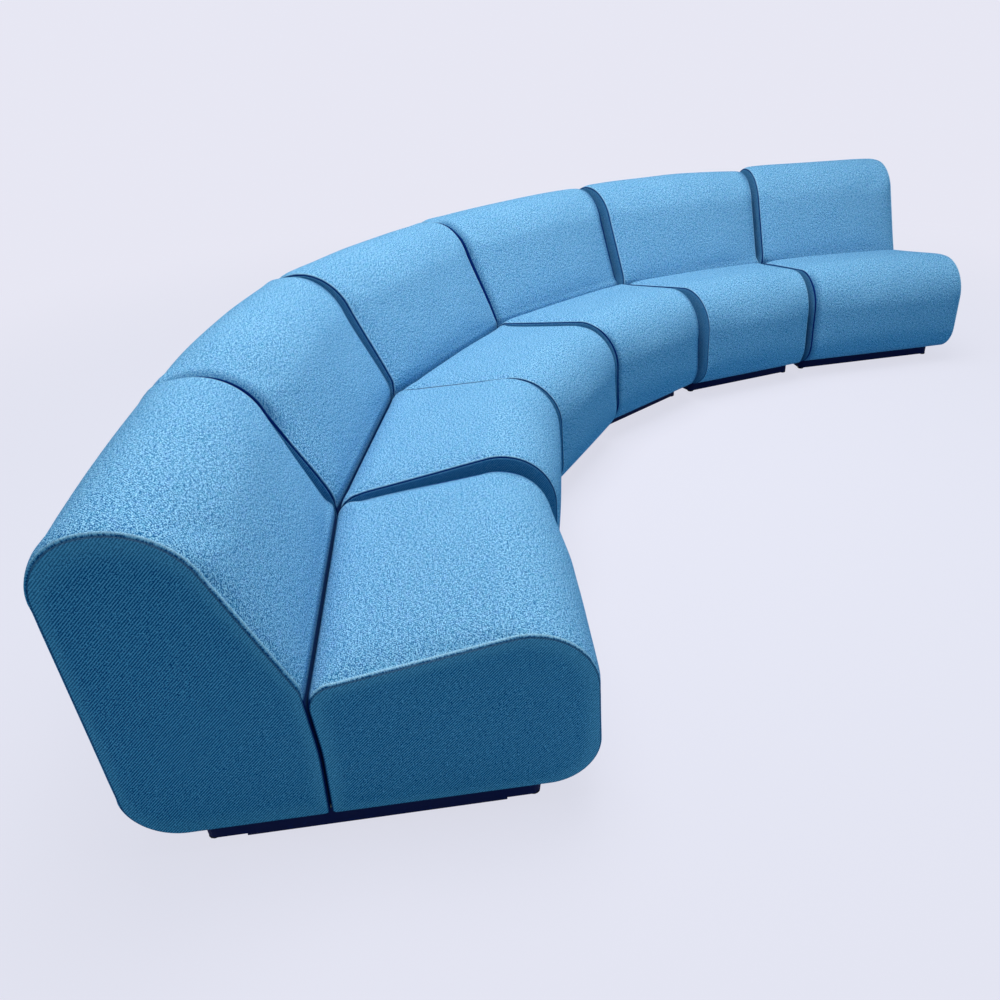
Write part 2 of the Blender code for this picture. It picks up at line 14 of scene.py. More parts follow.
import bpy
import numpy as np
from mathutils import Matrix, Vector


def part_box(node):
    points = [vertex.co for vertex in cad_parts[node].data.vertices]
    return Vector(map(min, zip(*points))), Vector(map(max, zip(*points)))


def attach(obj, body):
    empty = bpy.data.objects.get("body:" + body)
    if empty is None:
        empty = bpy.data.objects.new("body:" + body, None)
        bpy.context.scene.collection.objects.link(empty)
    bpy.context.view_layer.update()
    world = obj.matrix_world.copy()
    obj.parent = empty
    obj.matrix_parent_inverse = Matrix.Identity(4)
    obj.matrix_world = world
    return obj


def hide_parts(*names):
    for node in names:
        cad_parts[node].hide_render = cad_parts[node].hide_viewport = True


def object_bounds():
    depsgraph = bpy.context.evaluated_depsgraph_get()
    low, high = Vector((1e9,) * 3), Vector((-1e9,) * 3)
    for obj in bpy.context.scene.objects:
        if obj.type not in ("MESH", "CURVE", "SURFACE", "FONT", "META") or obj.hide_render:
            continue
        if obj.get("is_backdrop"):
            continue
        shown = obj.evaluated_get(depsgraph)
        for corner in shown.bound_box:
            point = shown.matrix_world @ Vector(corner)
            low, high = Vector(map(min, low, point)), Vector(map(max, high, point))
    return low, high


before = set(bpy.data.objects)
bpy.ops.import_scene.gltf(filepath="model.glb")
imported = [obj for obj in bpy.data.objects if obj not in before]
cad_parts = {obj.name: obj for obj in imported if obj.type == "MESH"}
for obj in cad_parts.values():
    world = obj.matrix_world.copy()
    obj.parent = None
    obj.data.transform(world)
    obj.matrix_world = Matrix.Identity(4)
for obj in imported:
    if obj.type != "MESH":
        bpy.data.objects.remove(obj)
cad_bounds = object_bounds()
print(len(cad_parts), "nodes, from", [round(value, 4) for value in cad_bounds[0]])
print("to", [round(value, 4) for value in cad_bounds[1]])

# %% [markdown]
# ## Where the seats stand
# A pad is worked out once, in its own seat's frame, and then placed. In that frame x runs across the seat
# from left to right, y runs to the rear, and the origin is on the floor under the middle of the crease
# between the seat and the back. A plan is two numbers: half the seat's width at the crease, and how far
# each side leans inwards to the front. The table of seats gives each one's place, its turn in degrees and
# its plan.

# %% The six seats
PLANS = {"straight": (0.333, 0.0), "wedge": (0.341, math.radians(11.25))}
SEATS = {
    "left_end": (-1.52125, -0.24432, 42.15, "straight"),
    "wedge_1": (-0.97453, 0.17312, 32.80, "wedge"),
    "wedge_2": (-0.34536, 0.41191, 10.30, "wedge"),
    "wedge_3": (0.33503, 0.42307, -11.10, "wedge"),
    "wedge_4": (0.96712, 0.16294, -32.10, "wedge"),
    "right_end": (1.52125, -0.24120, -42.15, "straight"),
}


def seat_matrix(seat):
    """From the seat's own frame to the sofa's: a turn about the vertical, then a shift."""
    x, y, turn, _ = SEATS[seat]
    return Matrix.Translation((x, y, 0.0)) @ Matrix.Rotation(math.radians(turn), 4, "Z")


for seat in SEATS:
    rearward = seat_matrix(seat).col[1]
    print(f"{seat:9} faces ({-rearward.x:+.2f}, {-rearward.y:+.2f})")

# %% [markdown]
# ## The side outline of a pad
# Seen from the side, each pad is a polygon with a round at every corner. The same outline is followed by
# the seam on both of its sides. It is worked out as one closed line, evenly spaced, and every point of it
# remembers on which stretch of the polygon it lies, so that swelling can be set stretch by stretch.
#
# A corner is (forward of the crease, height). It has a radius, and two shares: of the crown, which is the
# bulge in the middle of the cover, and of the roll, which is the plump edge beside the seam. The crown
# grows from nothing at the crease to its full height at the distance called fade.

# %% The pads' corners
PAD_BOTTOM = 0.052
CREASE_HEIGHT = 0.359
BACK_DEPTH = 0.357
JOINT = 0.003
JOINT_BOW = 0.007
JOINT_MIDDLE = (PAD_BOTTOM + CREASE_HEIGHT) / 2
BACK = {
    "corners": (
        (-BACK_DEPTH, PAD_BOTTOM),
        (-0.365, 0.695),
        (-0.148, 0.711),
        (-JOINT, CREASE_HEIGHT),
        (-JOINT + JOINT_BOW, JOINT_MIDDLE),
        (-JOINT, PAD_BOTTOM),
    ),
    "radii": (0.098, 0.114, 0.144, 0.029, 0.600, 0.006),
    "crown": (0.0, 1.0, 1.0, 1.0, 0.0, 0.0),
    "roll": (0.0, 1.0, 1.0, 1.0, 0.29, 0.29),
    "fade": 0.100,
}
SEAT = {
    "corners": (
        (JOINT, PAD_BOTTOM),
        (JOINT + JOINT_BOW, JOINT_MIDDLE),
        (JOINT, 0.355),
        (0.5245, 0.447),
        (0.5245, PAD_BOTTOM),
    ),
    "radii": (0.006, 0.600, 0.050, 0.136, 0.103),
    "crown": (0.0, 0.0, 0.0, 1.0, 0.15),
    "roll": (0.0, 0.29, 0.29, 1.0, 0.3),
    "fade": 0.050,
}
PADS = {"back": BACK, "seat": SEAT}
print("a seat is", round(SEAT["corners"][3][0] - BACK["corners"][1][0], 4), "m deep")

# %% The outline of rounded corners
ARC_POINTS = 65


def rounded(corners, radii, count):
    """A closed outline of count evenly spaced points, the stretch each lies on, and its length.

    At a corner the arc's middle lies on the bisector, at radius / sin(half the angle), and the arc's
    points are the two radii to its ends, mixed by sin((1 - k) turn) and sin(k turn), over sin(turn)."""
    corners = np.array(corners)
    points, stretches = [], []
    for index, (corner, radius) in enumerate(zip(corners, radii)):
        before = corners[index - 1] - corner
        after = corners[(index + 1) % len(corners)] - corner
        before /= np.linalg.norm(before)
        after /= np.linalg.norm(after)
        half = math.acos(before @ after) / 2
        middle = corner + (before + after) / np.linalg.norm(before + after) * radius / math.sin(half)
        start = corner + before * radius / math.tan(half) - middle
        end = corner + after * radius / math.tan(half) - middle
        turn = math.pi - 2 * half
        k = np.linspace(0.0, 1.0, ARC_POINTS)[:, None]
        points.append(middle + (start * np.sin((1 - k) * turn) + end * np.sin(k * turn)) / math.sin(turn))
        stretches.append(index + k[:, 0])
    points = np.vstack([*points, points[0][:1]])
    stretches = np.append(np.concatenate(stretches), len(corners))
    steps = np.linalg.norm(np.diff(points, axis=0), axis=1)
    along = np.concatenate([[0.0], np.cumsum(steps)])
    wanted = np.linspace(0.0, along[-1], count, endpoint=False)
    outline = np.column_stack([np.interp(wanted, along, points[:, axis]) for axis in (0, 1)])
    return outline, np.interp(wanted, along, stretches), along[-1]


print("the back's outline is", round(rounded(BACK["corners"], BACK["radii"], 200)[2], 3), "m long")

# %% What every point of the outline takes
ROLL_TO_PULL = ((0.30, 1.0), (0.35, 1.0))


def side_outline(pad, count):
    """The pad's outline, its outward directions, and how much crown, roll and pull each point takes.

    The pull is how far the thread draws the seam in: fully where the cloth is free, little where pads
    meet. It is read from the roll, by a straight line between two pairs."""
    points, stretch, length = rounded(pad["corners"], pad["radii"], count)
    along = np.roll(points, -1, axis=0) - np.roll(points, 1, axis=0)
    outward = np.column_stack([-along[:, 1], along[:, 0]])
    outward /= np.linalg.norm(outward, axis=1)[:, None]
    places = np.arange(len(pad["corners"]) + 1)
    crown = np.interp(stretch, places, [*pad["crown"], pad["crown"][0]])
    crown *= np.minimum(1.0, np.linalg.norm(points - (0.0, CREASE_HEIGHT), axis=1) / pad["fade"])
    roll = np.interp(stretch, places, [*pad["roll"], pad["roll"][0]])
    return {
        "points": points,
        "outward": outward,
        "crown": crown,
        "roll": roll,
        "pull": np.interp(roll, *ROLL_TO_PULL),
        "length": length,
    }


for name, pad in PADS.items():
    print(f"{name} pad: crown on {(side_outline(pad, 200)['crown'] > 0.5).mean():.0%} of its outline")

# %% [markdown]
# ## From one seam to the other
# A real cover is three pieces of cloth: one long strip that runs round the outline, and two side panels,
# sewn to the strip's edges. The seam between them is pulled in by its thread, so the cloth dips there and
# rolls up again on both sides. One grid carries the whole pad: its columns run round the outline, and its
# rows run from the middle of the left panel, over the left seam, across the strip, over the right seam
# and to the middle of the right panel. Rows lie close together at the seams, where the cloth bends most.

# %% Rows of the grid
STRIP_NEAR_SEAM = (0.0, 0.0004, 0.0009, 0.0016, 0.0026, 0.0042, 0.0065, 0.010, 0.015, 0.022, 0.030, 0.040)
PANEL_NEAR_SEAM = (0.0005, 0.0011, 0.0019, 0.0028)


def smooth(start, end, value):
    """0 up to start, 1 from end, and 3 t^2 - 2 t^3 between them."""
    t = np.clip((value - start) / (end - start), 0.0, 1.0)
    return t * t * (3 - 2 * t)


def strip_rows(half_width, cells, near_seam):
    """Distances of the strip's rows from the left seam: close together at both seams, even between."""
    near = np.array(near_seam)
    even = np.linspace(near[-1], 2 * half_width - near[-1], cells + 1)
    return np.concatenate([near[:-1], even, 2 * half_width - near[-2::-1]])


print(len(strip_rows(PLANS["straight"][0], 54, STRIP_NEAR_SEAM)), "rows across a strip of 54 even cells")

# %% [markdown]
# ## The pad's surface
# On the strip, a point of the outline is pushed outwards by the crown, which is a parabola from seam to
# seam, and by the roll beside the seam, which is a quarter of an ellipse. On a side panel, rows near the
# seam keep the outline's shape at an even distance inside it, and the rows further in shrink towards the
# panel's middle, as a contour map does. The rear of a wedge is bowed, by a share of the arc that would
# make the whole row of seats round.

# %% The strip as a function of two parameters
CROWN = 0.009
SEAM_ROLL = 0.009
SEAM_ROLL_WIDTH = 0.036
SEAM_DEPTH = 0.0022
SEAM_IN = 0.0008
RIDGE = 0.0006
RIDGE_PLACE = 0.0026
RIDGE_WIDTH = 0.0014
LIP_WIDTH = 0.0022


def strip_points(outline, half_width, tilt, distance, crown_height, bow):
    """Rows of the strip at these distances from the left seam.

    Outward push = crown (1 - v^2) + roll sqrt(1 - (1 - d / width)^2) - depth of the seam + its ridge, where
    v runs from -1 to 1 and d is the distance from the nearer seam. The ridge is the cloth folded under
    beside the seam, exp(-((d - place) / width)^2) high. Behind the crease the rows bow to the rear by
    bow (1 - v^2), as an arc over its chord."""
    v = distance / half_width - 1
    d = np.minimum(distance, 2 * half_width - distance)
    rise = SEAM_ROLL * np.sqrt(1 - np.maximum(0.0, 1 - d / SEAM_ROLL_WIDTH) ** 2)
    ridge = RIDGE * np.exp(-(((d - RIDGE_PLACE) / RIDGE_WIDTH) ** 2))
    dip = SEAM_DEPTH * (1 - smooth(0.0, LIP_WIDTH, d)) - ridge
    push = crown_height * (1 - v[:, None] ** 2) * outline["crown"] + rise[:, None] * outline["roll"]
    push -= dip[:, None] * outline["pull"]
    flat = outline["points"] + outline["outward"] * push[:, :, None]
    forward, height = flat[..., 0], flat[..., 1]
    side = half_width - forward * math.sin(tilt) - SEAM_IN
    rearward = bow * (1 - v[:, None] ** 2) * np.maximum(0.0, -forward / BACK_DEPTH)
    return np.stack([v[:, None] * side, rearward - forward * math.cos(tilt), height], axis=-1)


print(f"a strip rises {(CROWN + SEAM_ROLL) * 1000:.0f} mm from its seam to its middle")

# %% The side panels
PANEL_LIP = 0.0004


def panel_points(outline, half_width, tilt, side, distance, share):
    """Rows of a side panel, from beside the seam to its middle, in space and flat on the panel.

    The first rows lie at these distances inside the outline, and rise from the seam to a small lip. The
    rest shrink from the last of them towards the middle, by share."""
    middle = outline["points"].mean(axis=0)
    inside = SEAM_DEPTH * outline["pull"] + np.array(distance)[:, None]
    near = outline["points"] - outline["outward"] * inside[:, :, None]
    inner = middle + (near[-1] - middle) * np.array(share)[:, None, None]
    flat = np.concatenate([near, inner])
    lip = smooth(0.0, LIP_WIDTH, np.array(distance)) * (SEAM_IN + PANEL_LIP) - SEAM_IN
    out = np.concatenate([lip, np.full(len(share), PANEL_LIP)])[:, None]
    forward, height = flat[..., 0], flat[..., 1]
    x = side * (half_width - forward * math.sin(tilt) + out * math.cos(tilt))
    y = -forward * math.cos(tilt) - out * math.sin(tilt)
    return np.stack([x, y, height], axis=-1), flat


print(f"a panel stands {(SEAM_IN + PANEL_LIP) * 1000:.1f} mm out from its seam")

# %% The whole pad
# How far a panel's middle counts as being from its seam, and the share of the full arc at a wedge's rear.
PANEL_REACH = 0.20
REAR_BOW = 0.4


def pad_grid(pad, plan, columns, cells, near_seam, panel_near, panel_share, crown_height):
    """All rows of one pad, from the left panel's middle to the right panel's, with what the weave needs."""
    half_width, tilt = plan
    outline = side_outline(pad, columns)
    bow = (half_width + BACK_DEPTH * math.sin(tilt)) * math.tan(tilt / 2) * REAR_BOW
    distance = strip_rows(half_width, cells, near_seam)
    strip = strip_points(outline, half_width, tilt, distance, crown_height, bow)
    left, flat = panel_points(outline, half_width, tilt, -1, panel_near, panel_share)
    right, _ = panel_points(outline, half_width, tilt, 1, panel_near, panel_share)
    depth = np.concatenate([panel_near, panel_near[-1] + (1 - np.array(panel_share)) * PANEL_REACH])
    return {
        "points": np.concatenate([left[::-1], strip, right]),
        "strip": slice(len(flat), len(flat) + len(strip)),
        "distance": distance,
        "inwards": np.minimum(distance, distance[-1] - distance),
        "flat": flat,
        "depth": depth,
        "outline": outline,
    }


def outwards(grid):
    """The outline's outward directions in the seat's frame, one for every column."""
    forward, up = grid["outline"]["outward"].T
    return np.column_stack([np.zeros(len(up)), -forward, up])


def one_side(grid, right):
    """The rows of one side panel, and how far each row of the strip lies from that side's seam."""
    if right:
        return slice(grid["strip"].stop, None), grid["distance"][::-1]
    return slice(0, grid["strip"].start), grid["distance"]


FINE = {
    "columns": 216,
    "cells": 54,
    "near_seam": STRIP_NEAR_SEAM,
    "panel_near": PANEL_NEAR_SEAM,
    "panel_share": (0.985, 0.965, 0.94, 0.90, 0.85, 0.79, 0.72, 0.64, 0.55, 0.46, 0.37, 0.28, 0.19, 0.10),
}
example = pad_grid(BACK, PLANS["wedge"], crown_height=CROWN, **FINE)
print("a fine grid has", example["points"].shape[0], "rows and", example["points"].shape[1], "columns")

# %% [markdown]
# ## Putting a grid into a mesh
# The grid closes round the outline, and a fan of triangles closes the middle of each side panel. Faces
# are listed so that they point outwards.


# %% Faces and the closed mesh
def grid_faces(rows, columns):
    """Quads of a grid that is closed round its columns, as point numbers."""
    row = np.arange(rows - 1)[:, None] * columns
    column = np.arange(columns)[None, :]
    after = (column + 1) % columns
    quads = np.stack([row + column, row + after, row + columns + after, row + columns + column], axis=-1)
    return quads.reshape(-1, 4)


def fan_faces(centre, ring, first_row):
    """Triangles from a centre point to a ring of points, facing as the grid's own faces do."""
    after = np.roll(ring, -1)
    pair = [after, ring] if first_row else [ring, after]
    return np.stack([np.full(len(ring), centre), *pair], axis=-1)


def put_in(name, data):
    """A new object that holds this data, in the scene."""
    made = bpy.data.objects.new(name, data)
    bpy.context.scene.collection.objects.link(made)
    return made


def closed_mesh(name, points):
    """A mesh of the rows, closed by a centre point on each side, with everything smooth."""
    rows, columns = points.shape[:2]
    centres = [points[0].mean(axis=0), points[-1].mean(axis=0)]
    first_ring = np.arange(columns)
    last_ring = first_ring + (rows - 1) * columns
    faces = grid_faces(rows, columns).tolist()
    faces += fan_faces(rows * columns, first_ring, True).tolist()
    faces += fan_faces(rows * columns + 1, last_ring, False).tolist()
    mesh = bpy.data.meshes.new(name)
    mesh.from_pydata(np.concatenate([points.reshape(-1, 3), centres]), [], faces, shade_flat=False)
    mesh.validate()
    return mesh


print("a fine cover has", len(grid_faces(*example["points"].shape[:2])), "quads")

# %% [markdown]
# ## Coordinates that follow the cloth
# The weave must follow the cloth, so each corner of a face gets two pairs of coordinates: where it lies
# on its own piece of cloth, and where it lies beside the seam. They are kept for each face's corners and
# not for each point, because at a seam two pieces of cloth meet and a point lies on both.


# %% Coordinates of the cloth
def joined(values):
    """The columns with the first one again at the end, where the outline closes."""
    return np.concatenate([values, values[..., :1, :]], axis=-2)


def face_corners(values):
    """The values at the four corners of every face of the grid."""
    return np.stack([values[:-1, :-1], values[:-1, 1:], values[1:, 1:], values[1:, :-1]], axis=2)


def fan_corners(ring, first_row):
    """The values at the three corners of every triangle of a fan, with their mean at its centre."""
    pair = [ring[1:], ring[:-1]] if first_row else [ring[:-1], ring[1:]]
    return np.stack([np.broadcast_to(ring.mean(axis=0), ring[1:].shape), *pair], axis=1).reshape(-1, 2)


def cloth_coordinates(grid):
    """For every corner of every face: its place on its own piece of cloth, and its place beside the seam.

    On the strip the cloth runs by (x across, minus the length along the outline). On a panel it runs by
    (forward, height), turned so that both panels are seen from outside. Beside a seam the coordinates
    are (length along the outline, distance from the seam), with the distance negative on a panel."""
    outline, strip = grid["outline"], grid["strip"]
    rows, columns = grid["points"].shape[:2]
    along = np.linspace(0.0, outline["length"], columns + 1)
    across = joined(grid["points"])[..., 0]
    on_strip = np.stack([across, np.broadcast_to(-along, across.shape)], axis=-1)
    on_panel = np.concatenate([joined(outline["points"])[None], joined(grid["flat"])])
    on_left, on_right = np.zeros_like(on_strip), np.zeros_like(on_strip)
    on_left[: strip.start + 1] = on_panel[::-1]
    on_right[strip.stop - 1 :] = on_panel * (-1.0, 1.0)
    cloth = face_corners(on_strip)
    cloth[: strip.start] = face_corners(on_left)[: strip.start]
    cloth[strip.stop - 1 :] = face_corners(on_right)[strip.stop - 1 :]
    fans = [fan_corners(on_left[0], True), fan_corners(on_right[-1], False)]

    from_seam = np.concatenate([-grid["depth"][::-1], grid["inwards"], -grid["depth"]])
    beside = face_corners(np.stack(np.broadcast_arrays(along, from_seam[:, None]), axis=-1))
    middles = np.tile((0.0, -PANEL_REACH), (2 * 3 * columns, 1))
    return np.concatenate([cloth.reshape(-1, 2), *fans]), np.concatenate([beside.reshape(-1, 2), middles])


print("a fine cover has", len(cloth_coordinates(example)[0]), "corners of faces")

# %% [markdown]
# ## Swelling the cover with a cloth simulation
# Foam presses on a tight cover from inside. The cover gives where nothing holds it and stays put at its
# seams, on the deck and where back and seat rest against each other. A cloth simulation on a coarse grid
# finds that shape: the cover starts with too little crown, its seams and hidden faces are pinned, and air
# pressure stands in for the foam. Pads of one kind come from one pattern, so four simulations serve all
# twelve. How far each coarse point moved is capped, and then carried over to the fine grid.

# %% What the simulation holds
START_CROWN = 0.0060
HELD_CROWN = 0.10
COARSE = {
    "columns": 96,
    "cells": 22,
    "near_seam": (0.0, 0.004, 0.012, 0.026),
    "panel_near": (0.0028,),
    "panel_share": (0.93, 0.82, 0.68, 0.52, 0.34, 0.16),
}


def held_points(grid):
    """Which points are pinned: the seams, the underside, and the faces where back and seat meet."""
    strip = grid["strip"]
    held = np.zeros(grid["points"].shape[:2], bool)
    held[strip] = grid["outline"]["crown"] < HELD_CROWN
    held[[strip.start - 1, strip.start, strip.stop - 1, strip.stop]] = True
    return held


for name, pad in PADS.items():
    held = held_points(pad_grid(pad, PLANS["straight"], crown_height=START_CROWN, **COARSE))
    print(f"{name} pad: {held.mean():.0%} of {held.size} points are pinned")

# %% Run the simulation
PRESSURE = 1.0
QUALITY = 6
FRAMES = 20
MOST_SWELL = 0.0060
MOST_PANEL_SWELL = 0.0014


def swelling(name, grid):
    """How far each point of the coarse grid moves when the cover is blown up, capped smoothly.

    A move m becomes cap tanh(|m| / cap) along its own direction."""
    mesh = closed_mesh(name, grid["points"])
    cover = put_in(name, mesh)
    pinned = cover.vertex_groups.new(name="pinned")
    pinned.add(np.flatnonzero(held_points(grid)).tolist(), 1.0, "REPLACE")
    cloth = cover.modifiers.new("swell", "CLOTH")
    cloth.settings.vertex_group_mass = pinned.name
    cloth.settings.use_pressure = True
    cloth.settings.uniform_pressure_force = PRESSURE
    cloth.settings.effector_weights.gravity = 0.0
    cloth.settings.quality = QUALITY
    cloth.point_cache.frame_start = 1
    cloth.point_cache.frame_end = FRAMES
    for number in range(1, FRAMES + 1):
        bpy.context.scene.frame_set(number)
    blown = cover.evaluated_get(bpy.context.evaluated_depsgraph_get())
    after = np.empty(len(mesh.vertices) * 3, np.float32)
    blown.to_mesh().vertices.foreach_get("co", after)
    blown.to_mesh_clear()
    rows, columns = grid["points"].shape[:2]
    move = after.reshape(-1, 3)[: rows * columns].reshape(rows, columns, 3) - grid["points"]
    bpy.data.objects.remove(cover)
    bpy.data.meshes.remove(mesh)
    bpy.context.scene.frame_set(1)
    size = np.linalg.norm(move, axis=-1, keepdims=True)
    cap = np.full((rows, 1, 1), MOST_PANEL_SWELL)
    cap[grid["strip"]] = MOST_SWELL
    print(f"{name}: moved {size.mean() * 1000:.1f} mm on average, {size.max() * 1000:.1f} mm at most")
    return move * cap * np.tanh(size / cap) / np.maximum(size, 1e-9)


print(f"moves are capped at {MOST_SWELL * 1000:.1f} mm, on a panel at {MOST_PANEL_SWELL * 1000:.1f} mm")


# %% One swollen cover of each kind
def row_places(grid):
    """Where each row lies across the cover: below 0 on the left panel, above the width on the right."""
    width = grid["distance"][-1]
    return np.concatenate([-grid["depth"][::-1], grid["distance"], width + grid["depth"]])


def carried_over(coarse, move, fine):
    """The coarse moves at the fine grid's points, by straight lines between rows and between columns."""
    columns = fine["points"].shape[1]
    units = np.eye(len(move))
    row_weights = np.stack([np.interp(row_places(fine), row_places(coarse), unit) for unit in units], axis=1)
    there = np.arange(move.shape[1]) / move.shape[1]
    here = np.arange(columns) / columns
    units = np.eye(len(there))
    column_weights = np.stack([np.interp(here, there, unit, period=1.0) for unit in units], axis=1)
    return np.einsum("ri,cj,ijk->rck", row_weights, column_weights, move)


def cover_of_kind(plan_name, pad_name):
    pad, plan = PADS[pad_name], PLANS[plan_name]
    plain = pad_grid(pad, plan, crown_height=CROWN, **FINE)
    fine = pad_grid(pad, plan, crown_height=START_CROWN, **FINE)
    coarse = pad_grid(pad, plan, crown_height=START_CROWN, **COARSE)
    fine["points"] += carried_over(coarse, swelling(f"{plan_name} {pad_name}", coarse), fine)
    gap = np.linalg.norm(fine["points"] - plain["points"], axis=-1) * 1000
    print(f"  from the plain form: {gap.mean():.1f} mm on average, {gap.max():.1f} mm at most")
    return fine


KINDS = {(plan, pad_name): cover_of_kind(plan, pad_name) for plan in PLANS for pad_name in PADS}
print(len(KINDS), "kinds of cover")

# %% [markdown]
# ## No two pads alike
# Pads from one pattern still differ: the foam is cut by hand and the cover is pulled tight by hand. A few
# broad waves, less than a millimetre high, are added to each pad from its own seed. They fade out at the
# seams, and the hidden faces stay as they are, so that pads still meet where they should.

# %% Broad waves in the padding
WAVES = 5
WAVE_LENGTHS = (0.16, 0.55)
WAVE_SCALE = 1.6
STRIP_WAVE = 0.0009
PANEL_WAVE = 0.00025
WAVE_FADE = 0.05
WAVY_CROWN = (0.1, 0.6)


def normals_of(points):
    """Outward directions on a grid: the cross product of the steps round it and across it."""
    around = np.roll(points, -1, axis=1) - np.roll(points, 1, axis=1)
    across = np.gradient(points, axis=0)
    normal = np.cross(around, across)
    return normal / np.maximum(np.linalg.norm(normal, axis=-1, keepdims=True), 1e-12)


def waves(points, seed):
    """A mean of sines over space, each with its own direction, length and start, scaled to about 1."""
    rng = np.random.default_rng(seed)
    direction = rng.normal(size=(WAVES, 3))
    direction /= np.linalg.norm(direction, axis=1)[:, None]
    lengths = rng.uniform(*WAVE_LENGTHS, WAVES)
    starts = rng.uniform(0, 2 * math.pi, WAVES)
    sines = np.sin(points @ (direction * (2 * math.pi / lengths)[:, None]).T + starts)
    return sines.mean(axis=-1) * WAVE_SCALE


def own_shape(fine, seed):
    """The kind's surface with this pad's own unevenness, in the seat's frame."""
    height = np.full(len(fine["points"]), PANEL_WAVE)
    height[fine["strip"]] = STRIP_WAVE * smooth(0.0, WAVE_FADE, fine["inwards"])
    free = np.ones(fine["points"].shape[:2])
    free[fine["strip"]] = smooth(*WAVY_CROWN, fine["outline"]["crown"])
    push = height[:, None] * free * waves(fine["points"], seed)
    return fine["points"] + normals_of(fine["points"]) * push[:, :, None]


sample = waves(KINDS["straight", "back"]["points"], 3)
print(f"waves from {sample.min():.2f} to {sample.max():.2f}")

# %% [markdown]
# ## Set one by one
# The seams of the real sofa don't all follow one pattern either. The table says how one side of a pad's
# cover was pulled: outwards near the crease, outwards far from it, and inwards along the seat. The last
# number is how far across the strip the pull reaches. Only the front and the top of a cover give: the
# pull fades where the cloth is held, and it runs out down the side panel.

# %% How each cover was pulled
HAND_SET = {
    ("left_end", "back", "right"): (-0.008, -0.006, 0.008, 0.20),
    ("left_end", "seat", "right"): (0.0, -0.013, 0.008, 0.30),
    ("wedge_1", "back", "left"): (0.004, -0.015, 0.0, 0.16),
    ("wedge_1", "back", "right"): (0.006, -0.008, 0.004, 0.40),
    ("wedge_1", "seat", "left"): (0.006, 0.009, 0.0, 0.65),
    ("wedge_2", "back", "left"): (0.010, -0.003, 0.006, 0.50),
    ("wedge_2", "back", "right"): (0.003, -0.013, 0.006, 0.65),
    ("wedge_2", "seat", "right"): (-0.005, -0.008, 0.008, 0.30),
    ("wedge_3", "back", "left"): (0.0, -0.017, 0.0, 0.65),
    ("wedge_3", "back", "right"): (-0.006, -0.009, 0.011, 0.40),
    ("wedge_3", "seat", "right"): (0.0, -0.004, 0.011, 0.25),
    ("wedge_4", "back", "left"): (0.004, 0.0, 0.005, 0.30),
    ("wedge_4", "back", "right"): (-0.006, -0.006, 0.011, 0.30),
    ("wedge_4", "seat", "right"): (0.0, -0.004, 0.010, 0.25),
    ("right_end", "back", "left"): (0.004, 0.006, 0.006, 0.50),
    ("right_end", "back", "right"): (0.0, 0.006, 0.0, 0.50),
    ("right_end", "seat", "left"): (0.0, -0.005, -0.002, 0.25),
}
# Where the cover gives, and over which distances and heights the pull grows and fades.
FRONT_AND_TOP = (1.0, 0.6)
FACING = (-0.2, 0.4)
BACK_ABOVE = (CREASE_HEIGHT - 0.01, CREASE_HEIGHT + 0.03)
BACK_GROWS = (0.03, 0.30)
SEAT_BEYOND = (0.015, 0.08)
SEAT_ABOVE = (0.05, 0.10)
SEAT_GROWS = (0.10, 0.50)
SEAT_FADES_BELOW = (0.05, 0.28)
INWARDS_REACH = 0.15
PANEL_PULLED = 0.10
print(len(HAND_SET), "sides of pads were set by hand")


# %% The pull
def set_by_hand(fine, pad_name, right, low, high, inwards, reach):
    """The move of every point when one side of the cover is pulled, in the seat's frame.

    Outward pull = (low + (high - low) smooth(distance from the crease)) (1 - smooth(distance from the
    seam / reach)), where the cover faces the front or the top, and it fades to nothing down the panel."""
    outline, strip = fine["outline"], fine["strip"]
    from_crease = np.linalg.norm(outline["points"] - (0.0, CREASE_HEIGHT), axis=1)
    height = outline["points"][:, 1]
    free = smooth(*FACING, outline["outward"] @ FRONT_AND_TOP)
    if pad_name == "back":
        free *= smooth(*BACK_ABOVE, height)
        amount = free * (low + (high - low) * smooth(*BACK_GROWS, from_crease))
    else:
        free *= smooth(*SEAT_BEYOND, from_crease) * smooth(*SEAT_ABOVE, height)
        amount = free * (low + (high - low) * smooth(*SEAT_GROWS, from_crease))
        amount *= smooth(*SEAT_FADES_BELOW, height)
    panel, distance = one_side(fine, right)
    down = 1 - smooth(0.0, PANEL_PULLED, fine["depth"])
    across, beside = np.zeros(len(fine["points"])), np.zeros(len(fine["points"]))
    across[strip] = 1 - smooth(0.0, reach, distance)
    beside[strip] = 1 - smooth(0.0, INWARDS_REACH, distance)
    across[panel] = beside[panel] = down if right else down[::-1]
    push = across[:, None, None] * amount[:, None] * outwards(fine)
    push[..., 0] += beside[:, None] * free * inwards * (-1 if right else 1)
    return push


furthest = set_by_hand(example, "back", False, *HAND_SET["wedge_3", "back", "left"])
print(f"the furthest pull moves a seam by {np.linalg.norm(furthest, axis=-1).max() * 1000:.0f} mm")


# %% Each seat's own pads
def kind_of(seat, pad_name):
    """The cover that this seat's pad is cut from."""
    return KINDS[SEATS[seat][3], pad_name]


def placed_shape(seat, pad_name, seed):
    """The pad's points in the sofa's frame, with its own unevenness and the way it was set."""
    fine = kind_of(seat, pad_name)
    local = own_shape(fine, seed)
    for right, side in enumerate(("left", "right")):
        if (seat, pad_name, side) in HAND_SET:
            local += set_by_hand(fine, pad_name, right, *HAND_SET[seat, pad_name, side])
    turn = np.array(seat_matrix(seat))
    return local @ turn[:3, :3].T + turn[:3, 3]


